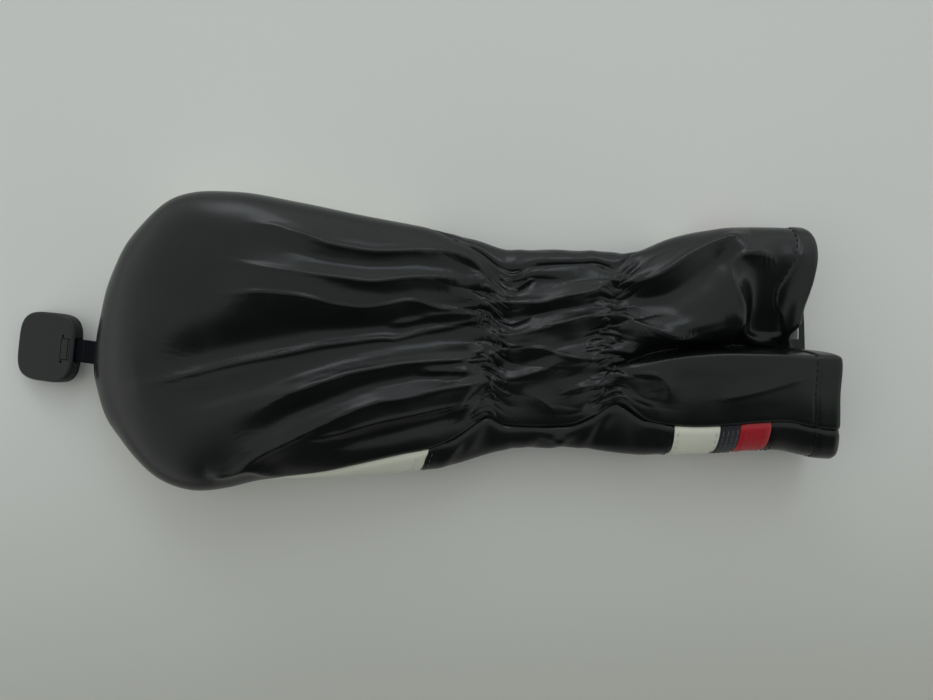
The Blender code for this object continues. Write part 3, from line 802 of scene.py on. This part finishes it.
# Half the gap between two front panels.
JOIN_GAP = 0.12
# Opening of the tip seam round the strap: place, half width, reach along x, lift and push.
SLIT_X = -148.6
SLIT_Y = -5.8
SLIT_HALF = 8.6
SLIT_REACH = 3.0
SLIT_LIFT = 1.9
SLIT_PUSH = 0.95
STITCH_RINGS = 6
STITCH_SIDES = 6
STITCH_LIFT = 0.10
# Stations of the front's topstitching.
WHITE_ROWS = (0.2, 114.0, 131.4)
BLACK_ROWS = (110.8, 157.8)
JOIN_ROW = 7.0
GREY_ROWS = (134.4, 136.5, 138.6, 140.7)
RED_ROWS = (144.6, 153.4)
FRONT_PANELS = [
    ("front_head_panel", X_START, 5.0, WHITE, "white_leather"),
    ("front_neck_panel", 5.0, 112.5, BLACK, "black_leather"),
    ("front_white_band", 112.5, 133.0, WHITE, "white_leather"),
    ("front_ribbed_band", 133.0, 142.0, RIB, "ribbed_trim"),
    ("front_red_band", 142.0, 156.0, RED, "red_leather"),
    ("front_cuff_panel", 156.0, X_END, BLACK, "black_leather"),
]


def settle(item, node, body="cover"):
    """Hand a finished piece to the frame."""
    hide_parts(node)
    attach(item, body)
    return item


def hem_width(side, t):
    """Width of the turned hem at fractions t of one side."""
    return np.interp(t, *np.array(FRONT_HEM if side.front else BACK_HEM, float).T)


def hem_profile(side):
    """Lift of the turned hem along the mouth, with its stitched groove."""
    gap = side.base[-1:, :, 0] - side.base[..., 0]
    inward = gap - hem_width(side, side.ts)
    step = 0.5 - 0.5 * np.tanh(inward / (2 * HEM_RISE))
    groove = np.exp(-(inward / HEM_GROOVE_SPREAD) ** 2)
    return HEM_LIFT * step - HEM_GROOVE * groove - LIP_DROP * np.exp(-(gap / LIP_SPREAD) ** 2)


def skin(side, name, first, last, mat, band=False):
    """One leather panel as a closed sheet with rolled seam edges."""
    rows = side.rows(first, last)
    rows = rows[:(len(rows) - 1) // COARSE * COARSE + 1]
    outer = side.face[rows]
    if band:
        run = distance(outer)
        roll = BAND_DROP * np.exp(-(np.minimum(run, run[-1] - run) / BAND_REACH) ** 1.5)
        outer = outer - side.face_normal[rows] * roll[..., None]
    outer[..., 2] = np.maximum(outer[..., 2], 0.0)
    w, wide = arc(side.base[rows])
    depth = SKIN + SEAM_EXTRA * np.exp(-(np.minimum(w, wide - w) / SEAM_REACH) ** 2)
    inner = side.base[rows] + side.normal[rows] * (side.sunk[rows] - depth)[..., None]
    return shell(name, outer, slit(inner, side.front), mat)


def slit(p, front):
    """Open the tip seam a little round the strap, so it can swing up and down."""
    across = np.exp(-((p[..., 1] - SLIT_Y) / SLIT_HALF) ** 6)
    near = across * np.exp(-((p[..., 0] - SLIT_X) / SLIT_REACH) ** 2)
    p[..., 2] += (-SLIT_LIFT if front else SLIT_LIFT) * near
    p[..., 0] += SLIT_PUSH * near
    return p


def lining(side, name, node, first, last, depth, thick, mat, trim):
    """One inner layer as a closed sheet, on every second line of the side's grid."""
    faces = [side.part(side.inside(d), first, last, trim)[::2, ::2] for d in (depth, depth + thick)]
    nu, nt = ((n - 1) // COARSE * COARSE + 1 for n in faces[0].shape[:2])
    outer, inner = (p[:nu, :nt] for p in faces)
    return settle(shell(name, outer, inner, mat), node), outer


def thread(name, side, runs, mat, length=2.6, gap=1.0, radius=0.24):
    """Rows of sewing-thread stitches, each along its own stations u and fractions t."""
    points = []
    faces = []
    for u, t in runs:
        line = side.at(side.face, u, t)
        up = side.at(side.face_normal, u, t)
        step = distance(line)
        for start in np.arange(gap / 2, step[-1] - length, length + gap):
            faces += tube_faces(len(points), STITCH_RINGS, STITCH_SIDES)
            for k in range(STITCH_RINGS):
                f = k / (STITCH_RINGS - 1)
                at = start + length * f
                centre = points_at(line, step, at)
                n = points_at(up, step, at)
                n /= np.linalg.norm(n)
                way = points_at(line, step, at + 0.2) - centre
                way /= max(np.linalg.norm(way), EPS)
                cross = np.cross(n, way)
                bow = sin(pi * f)
                r = radius * (0.35 + 0.65 * bow ** 0.4)
                centre = centre + n * (STITCH_LIFT + 0.3 * radius * bow - 0.30 * (1 - bow))
                for m in range(STITCH_SIDES):
                    a = 2 * pi * m / STITCH_SIDES
                    points.append(centre + r * (cos(a) * cross + 0.8 * sin(a) * n))
    points = np.array(points)
    points[:, 2] = np.maximum(points[:, 2], 0.0)
    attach(mesh_object(name, points, faces, mat, 180), "cover")


def hem_run(side):
    """Stations and fractions of the hem's stitch line."""
    t = np.linspace(0.01, 0.99, 240)
    column = np.clip((t * (len(side.ts) - 1)).round().astype(int), 0, len(side.ts) - 1)
    u = []
    for c, part in zip(column, t):
        x = side.base[:, c, 0]
        u.append(np.interp(x[-1] - hem_width(side, part) - 0.1, x, side.us))
    return np.array(u), t


def across_run(u):
    """One station, all the way round a side."""
    return np.full(200, float(u)), np.linspace(0.012, 0.988, 200)


def build_stitches(back, front):
    """Topstitching of the hem and of the front's bands."""
    thread("hem_stitches_back", back, [hem_run(back)], THREAD, 2.4, 0.9, 0.26)
    thread("hem_stitches_front", front, [hem_run(front)], THREAD, 2.4, 0.9, 0.26)
    thread("white_stitches", front, [across_run(u) for u in WHITE_ROWS], WHITE_THREAD)
    thread("black_stitches", front, [across_run(u) for u in BLACK_ROWS], THREAD)
    thread("join_stitches", front, [across_run(JOIN_ROW)], GREY_THREAD, 2.4, 0.9, 0.17)
    thread("grey_stitches", front, [across_run(u) for u in GREY_ROWS], GREY_THREAD, 3.4, 0.15, 0.25)
    thread("red_stitches", front, [across_run(u) for u in RED_ROWS], RED_THREAD)


def build_linings(back, front):
    """Foam pads, fleece and knitted linings, and the two elastics."""
    for side, word in ((back, "back"), (front, "front")):
        item, _ = lining(side, "foam_" + word, "foam_pad_" + word, -138, 2, 1.5, 1.9, FOAM, 6)
        item, p = lining(side, "fleece_" + word, "head_lining_" + word, -137, 3, 3.8, 1.1, FLEECE,
                         8)
        item, p = lining(side, "knit_" + word, "neck_lining_" + word, 8, X_END - 1, 2.2, 0.9, KNIT,
                         4)
    for node, a, b in (("elastic_band_head", 33, 41), ("elastic_band_cuff", 80, 88)):
        item, p = lining(back, node + "_strip", node, a, b, 1.3, 0.7, ELASTIC, 6)


def build_cover():
    """All sewn pieces. The grids are closer at the gathers, the neck and the tip."""
    dense = [(22, 48, 0.55), (74, 98, 0.55), (5, 190, 0.82), (-150, -138, 0.5), (-64, 5, 1.05)]
    back = Side(False, spaced(X_START, X_END, 1.6, dense), 222)
    spans = [spaced(a + (JOIN_GAP if a > X_START else 0), b - (JOIN_GAP if b < X_END else 0), 1.5,
                    [(15, 110, 1.0)]) for _, a, b, _, _ in FRONT_PANELS]
    front = Side(True, np.concatenate(spans), 120)
    item = settle(skin(back, "gathered_back", X_START, X_END, BLACK), "back_panel")
    for (node, _, _, mat, slot), span in zip(FRONT_PANELS, spans):
        item = skin(front, node + "_leather", span[0], span[-1], mat, band=True)
        settle(item, node)
    build_linings(back, front)
    build_stitches(back, front)


# ---------------------------------------------------------------- strap, label and dial numbers

STRAP_ROOT = (-147.6, -5.3, 16.0)
STRAP_YAW = -6.0
STRAP_PITCH = -22.0
TAG_PITCH = -15.6
STRAP_LENGTH = 14.6
STRAP_WIDE = 10.4
STRAP_THICK = 0.74
STRAP_START = 0.2
# The webbing's two layers lie STRAP_HALF from its middle. LOOP_OPEN before the pin they open into
# a loop of radius STRAP_BEND, from LOOP_FROM degrees through LOOP_TURN degrees.
STRAP_HALF = 0.43
STRAP_BEND = 1.52
LOOP_OPEN = 3.2
LOOP_FROM = 62
LOOP_TURN = 236
RIB_PITCH = 0.85
RIB_HEIGHT = 0.055
# Bar tack: where it crosses the strap, its height, and its stitches' first place, pitch, number,
# radius and sides.
TACK_X = -6.6
TACK_Z = 0.95
TACK_Y = -4.2
TACK_PITCH = 0.6
TACK_COUNT = 15
TACK_RADIUS = 0.17
TACK_SIDES = 8
DIAL_X = -14.8
DIAL_FACE = -1.4
NUMERAL_RING = 7.9
NUMERAL_SIZE = 3.8
NUMERALS = "12345678"
# Care label: the curl of its lower layer (x, z), and the space between its layers.
LABEL_CURL = [(150, 4.3), (156, 4.9), (161, 6.3), (165, 8.5), (168.2, 11.3), (170.4, 14.4),
              (171.6, 17.6)]
LABEL_GAP = 0.42
LABEL_Y = 7.2
LABEL_WIDE = 12.6
LABEL_THICK = 0.16


def strap_axes():
    """Matrix of the strap: origin at the cover's seam, -X towards the tag, Y along the hinge."""
    place = Matrix.Translation(Vector(STRAP_ROOT))
    return place @ Matrix.Rotation(radians(STRAP_YAW), 4, "Z") @ Matrix.Rotation(
        radians(STRAP_PITCH), 4, "Y")


def dial_axes():
    """Matrix of the dial, on the tag's axle."""
    pin = strap_axes() @ Matrix.Translation(Vector((-STRAP_LENGTH, 0, 0)))
    tilt = Matrix.Rotation(radians(TAG_PITCH - STRAP_PITCH), 4, "Y")
    return pin @ tilt @ Matrix.Translation(Vector((DIAL_X, 0, 0)))


def ribbon(name, path, wide, thick, mat, axes, ribs=0.0, wave=0.0):
    """Closed flat strip along a path of (x, z) points, with cross ribs and soft edges. Also
    gives its flat width and length, and the area of one face."""
    path = np.array(path, float)
    step = distance(path)
    count = int(step[-1] / 0.14)
    at = np.linspace(0, step[-1], count)
    line = blur(points_at(path, step, at), 3)
    way = np.gradient(line, axis=0)
    way /= np.linalg.norm(way, axis=1)[:, None]
    up = np.stack([-way[:, 1], way[:, 0]], 1)
    v = np.sin(np.linspace(-pi / 2, pi / 2, 27))
    soft = (1 - np.abs(v) ** 6) ** 0.5
    rib = ribs * np.abs(np.sin(pi * at / RIB_PITCH))
    ripple = wave * np.sin(at[:, None] * 0.45 + 2.2 * v[None, :])
    points = []
    for face in (1, -1):
        lift = face * (thick / 2 * (0.35 + 0.65 * soft[None, :]) + rib[:, None] * soft[None, :])
        lift = lift + ripple
        x = line[:, 0:1] + up[:, 0:1] * lift
        z = line[:, 1:2] + up[:, 1:2] * lift
        y = np.broadcast_to(wide / 2 * v, x.shape)
        points.append(np.stack([x, y, z], 2).reshape(-1, 3))
    points = np.concatenate(points)
    row = len(v)
    base = count * row
    faces = quads(count, row) + quads(count, row, base, True)
    for j, turn in ((0, 1), (row - 1, -1)):
        for a in range(j, base - row, row):
            faces.append((a, a + row, base + a + row, base + a)[::turn])
    for first, turn in ((0, 1), (base - row, -1)):
        for a in range(first, first + row - 1):
            faces.append((a, a + 1, base + a + 1, base + a)[::turn])
    item = mesh_object(name, [tuple(axes @ Vector(q)) for q in points], faces, mat, 70)
    mesh = bmesh.new()
    mesh.from_mesh(item.data)
    bmesh.ops.recalc_face_normals(mesh, faces=mesh.faces)
    mesh.to_mesh(item.data)
    mesh.free()
    flat = (wide * MM, step[-1] * MM)
    return item, flat, min(sum(f.area for f in item.data.polygons) / 2, flat[0] * flat[1])


def build_strap():
    """Ribbed webbing from the seam round the tag's pin and back, with a bar tack."""
    pin = -STRAP_LENGTH
    path = [(STRAP_START, STRAP_HALF), (pin + LOOP_OPEN, STRAP_HALF)]
    for k in range(25):
        a = radians(LOOP_FROM) + radians(LOOP_TURN) * k / 24
        path.append((pin + STRAP_BEND * cos(a), STRAP_BEND * sin(a)))
    path += [(pin + LOOP_OPEN, -STRAP_HALF), (STRAP_START, -STRAP_HALF)]
    axes = strap_axes()
    item, flat, area = ribbon("ribbed_strap", path, STRAP_WIDE, STRAP_THICK, WEBBING, axes,
                              RIB_HEIGHT)
    settle(item, "tag_strap", "strap")
    points = []
    faces = []
    for k in range(TACK_COUNT):
        y = TACK_Y + TACK_PITCH * k
        lean = 0.5 * (-1) ** k
        start = axes @ Vector((TACK_X - lean, y, TACK_Z))
        end = axes @ Vector((TACK_X + lean, y + 0.5, TACK_Z))
        faces += tube_faces(len(points), STITCH_RINGS, TACK_SIDES)
        points += capsule(start, end)
    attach(mesh_object("strap_bar_tack", points, faces, THREAD, 180), "strap")


def capsule(a, b):
    """Points of one sewing stitch from a to b: a short round thread with tapered ends."""
    way = (b - a).normalized()
    one = way.orthogonal().normalized()
    two = way.cross(one)
    points = []
    for k in range(STITCH_RINGS):
        f = k / (STITCH_RINGS - 1)
        r = TACK_RADIUS * (0.3 + 0.7 * sin(pi * f) ** 0.5)
        for m in range(TACK_SIDES):
            turn = 2 * pi * m / TACK_SIDES
            points.append(tuple(a.lerp(b, f) + r * (cos(turn) * one + sin(turn) * two)))
    return points


def build_label():
    """Folded satin care label lying inside the mouth."""
    curl = np.array(LABEL_CURL)
    way = np.gradient(curl, axis=0)
    up = np.stack([-way[:, 1], way[:, 0]], 1) / np.linalg.norm(way, axis=1)[:, None]
    fold = [curl[-1] + (0.05, 0.25)]
    path = np.concatenate([curl, fold, (curl + LABEL_GAP * up)[::-1]])
    axes = Matrix.Translation(Vector((0, LABEL_Y, 0)))
    item, flat, area = ribbon("folded_label", path, LABEL_WIDE, LABEL_THICK, LABEL, axes, wave=0.05)
    settle(item, "care_label")


def build_numerals():
    """Small raised numbers round the dial, read through the cover's window."""
    axes = dial_axes()
    for k, digit in enumerate(NUMERALS):
        curve = bpy.data.curves.new("numeral_" + digit, "FONT")
        curve.body = digit
        curve.size = NUMERAL_SIZE
        curve.align_x = "CENTER"
        curve.align_y = "CENTER"
        curve.extrude = 0.09
        curve.bevel_depth = 0.02
        text = bpy.data.objects.new("numeral_curve", curve)
        mesh = bpy.data.meshes.new_from_object(text)
        bpy.data.objects.remove(text, do_unlink=True)
        turn = Matrix.Rotation(2 * pi * k / len(NUMERALS), 4, "Z")
        spot = Matrix.Translation(Vector((-NUMERAL_RING, 0, DIAL_FACE - 0.05)))
        upright = Matrix.Rotation(pi / 2, 4, "Z") @ Matrix.Rotation(pi, 4, "X")
        mesh.transform(Matrix.Scale(MM, 4) @ axes @ turn @ spot @ upright)
        mesh.materials.clear()
        mesh.materials.append(TAG)
        item = bpy.data.objects.new("numeral_" + digit, mesh)
        bpy.context.collection.objects.link(item)
        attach(item, "dial")


def carry_over():
    """Moulded and metal CAD pieces keep their meshes and get finished materials."""
    for node, mat in (("tag_housing", TAG), ("tag_bezel", TAG), ("strap_clip", TAG),
                      ("number_dial", DIAL), ("strap_pin", STEEL), ("dial_pivot", STEEL)):
        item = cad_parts[node]
        item.data.materials.clear()
        item.data.materials.append(mat)


# ---------------------------------------------------------------- room

# The table top in metres: half its size, its height, and the cells along each side.
TABLE_HALF = 3.0
TABLE_Z = -0.0004
TABLE_CELLS = 60
# Painted shade on the table: the paint is darker nearer the viewer, over these y, and along x by this
# slope, in place of light that falls off across the table.
SHADE_SPAN_Y = (-0.24, 0.05)
SHADE_SLOPE_X = -0.28
PAINT_CLOUD = 0.05
PAINTED_SHADE_COLOUR = (0.432, 0.432, 0.386)
PAINTED_LIT_COLOUR = (0.716, 0.716, 0.688)
# The sky above, and windows in it: direction, cosines where they begin and are full, and colour.
HORIZON = (0.90, 0.92, 0.90)
ZENITH = (0.66, 0.69, 0.68)
WINDOWS = [
    ((-0.25, 0.9, 0.36), 0.972, 0.998, (3.3, 3.5, 3.7)),
    ((0.24, 0.76, 0.62), 0.965, 0.995, (2.6, 2.85, 3.1)),
    ((0.1, -0.82, 0.57), 0.64, 0.93, (0.035, 0.036, 0.035)),
]
SKY_STRENGTH = 1.04
CAMERA_PLACE = (0.0211, -0.004, 0.356)
CAMERA_LENS = 28.8


def build_floor():
    """Pale table top, with painted shade: darker nearer the viewer and along x."""
    mesh = bpy.data.meshes.new("table_top")
    line = np.linspace(-TABLE_HALF, TABLE_HALF, TABLE_CELLS + 1)
    points = [(x, y, TABLE_Z) for x in line for y in line]
    mesh.from_pydata(points, [], quads(TABLE_CELLS + 1, TABLE_CELLS + 1, 0, True))
    floor = bpy.data.objects.new("table_top", mesh)
    bpy.context.collection.objects.link(floor)
    mat, tree, shader = nodes_of("table_paint_with_painted_shade")
    cloud = add(tree, "ShaderNodeTexNoise", Scale=6.0, Detail=4.0)
    across = add(tree, "ShaderNodeSeparateXYZ")
    in_place(tree, cloud, across)
    # Painted shade: the colour darkens towards -y and along x, as falling-off light would.
    far = soft_step(tree, across.outputs["Y"], *SHADE_SPAN_Y)
    both = maths(tree, "MULTIPLY_ADD", across.outputs["X"], SHADE_SLOPE_X, far)
    tone = maths(tree, "MULTIPLY_ADD", cloud.outputs["Fac"], PAINT_CLOUD, both)
    paint(tree, shader, tone, (0.0, PAINTED_SHADE_COLOUR), (1.0, PAINTED_LIT_COLOUR))
    shader.inputs["Roughness"].default_value = 0.55
    mesh.materials.append(mat)


def build_sky():
    """Soft daylight from two windows on the +Y side, and a dark wall opposite."""
    world = bpy.data.worlds.new("soft_room")
    bpy.context.scene.world = world
    world.use_nodes = True
    tree = world.node_tree
    link = tree.links.new
    sky = tree.nodes["Background"]
    place = add(tree, "ShaderNodeTexCoord")

    def blend(base, way, start, full, colour):
        """Mix a colour over base in a patch round one direction."""
        dot = add(tree, "ShaderNodeVectorMath", operation="DOT_PRODUCT")
        link(place.outputs["Generated"], dot.inputs[0])
        dot.inputs[1].default_value = Vector(way).normalized()
        mix = add(tree, "ShaderNodeMix", data_type="RGBA")
        link(soft_step(tree, dot.outputs["Value"], start, full), mix.inputs["Factor"])
        if isinstance(base, tuple):
            mix.inputs[6].default_value = (*base, 1)
        else:
            link(base, mix.inputs[6])
        mix.inputs[7].default_value = (*colour, 1)
        return mix.outputs[2]

    tone = blend(HORIZON, (0, 0, 1), 0.1, 0.6, ZENITH)
    for window in WINDOWS:
        tone = blend(tone, *window)
    link(tone, sky.inputs["Color"])
    sky.inputs["Strength"].default_value = SKY_STRENGTH


def build_camera():
    """Camera straight above, looking down."""
    camera = bpy.data.cameras.new("camera")
    camera.lens = CAMERA_LENS
    camera.sensor_width = 36
    camera.clip_start = 0.01
    item = bpy.data.objects.new("camera", camera)
    item.location = CAMERA_PLACE
    bpy.context.collection.objects.link(item)
    bpy.context.scene.camera = item
    bpy.context.scene.view_settings.view_transform = "Standard"


build_cover()
build_strap()
build_label()
build_numerals()
carry_over()
build_floor()
build_sky()
build_camera()
